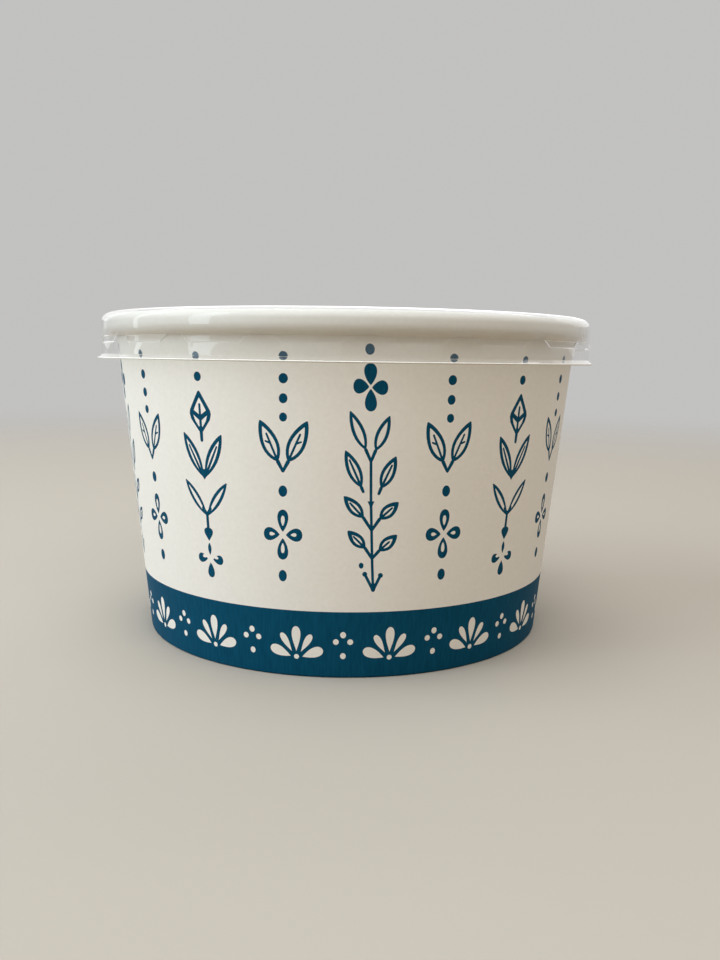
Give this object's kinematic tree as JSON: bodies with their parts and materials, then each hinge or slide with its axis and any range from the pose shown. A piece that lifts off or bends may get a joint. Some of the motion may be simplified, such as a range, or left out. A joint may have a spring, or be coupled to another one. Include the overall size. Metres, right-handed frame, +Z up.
{
  "type": "paper bowl",
  "caption": "Round tapered paper bowl with a printed wall, a rolled rim and a recessed base, closed by a clear press-on lid that lifts straight off.",
  "frame": {"origin": "on the bowl's axis, at the level of the foot that it stands on", "axes": "+Z up along the bowl's axis, -Y towards the front of the print, +Y towards the lapped seam"},
  "size_m": [0.1184, 0.1184, 0.0742],
  "materials": {
    "printed_board": "satin coated board printed in one dark blue ink",
    "plain_board": "satin coated white board",
    "clear_plastic": "clear glossy formed sheet"
  },
  "bodies": {
    "bowl": {"side_wall": "printed_board", "base_disc": "plain_board"},
    "lid": {"lid": "clear_plastic"}
  },
  "joints": [
    {"name": "lid_lift", "type": "slide", "parent": "bowl", "child": "lid", "axis": [0, 0, 1], "range_m": [0, 0.08]}
  ]
}
